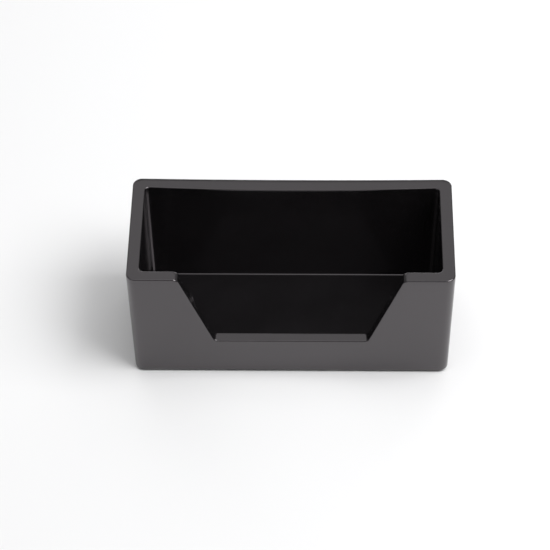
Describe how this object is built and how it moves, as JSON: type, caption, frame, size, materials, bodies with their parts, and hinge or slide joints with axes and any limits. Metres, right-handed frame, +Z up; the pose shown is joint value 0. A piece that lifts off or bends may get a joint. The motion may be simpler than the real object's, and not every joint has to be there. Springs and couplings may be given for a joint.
{
  "type": "napkin dispenser",
  "caption": "Open-topped tabletop napkin holder: a thick-walled rectangular box with a wide trapezoidal finger cut-out in its front wall, standing on low rubber feet.",
  "frame": {"origin": "on the table, under the middle of the box's plan", "axes": "+Z up, +X along the long side, -Y towards the wall with the finger cut-out"},
  "size_m": [0.1904, 0.0856, 0.0796],
  "materials": {
    "moulding": "satin black moulded melamine",
    "foot_rubber": "matt black rubber"
  },
  "bodies": {
    "root": {"box_body": "moulding", "foot_front_left": "foot_rubber", "foot_front_right": "foot_rubber", "foot_rear_left": "foot_rubber", "foot_rear_right": "foot_rubber"}
  },
  "joints": []
}
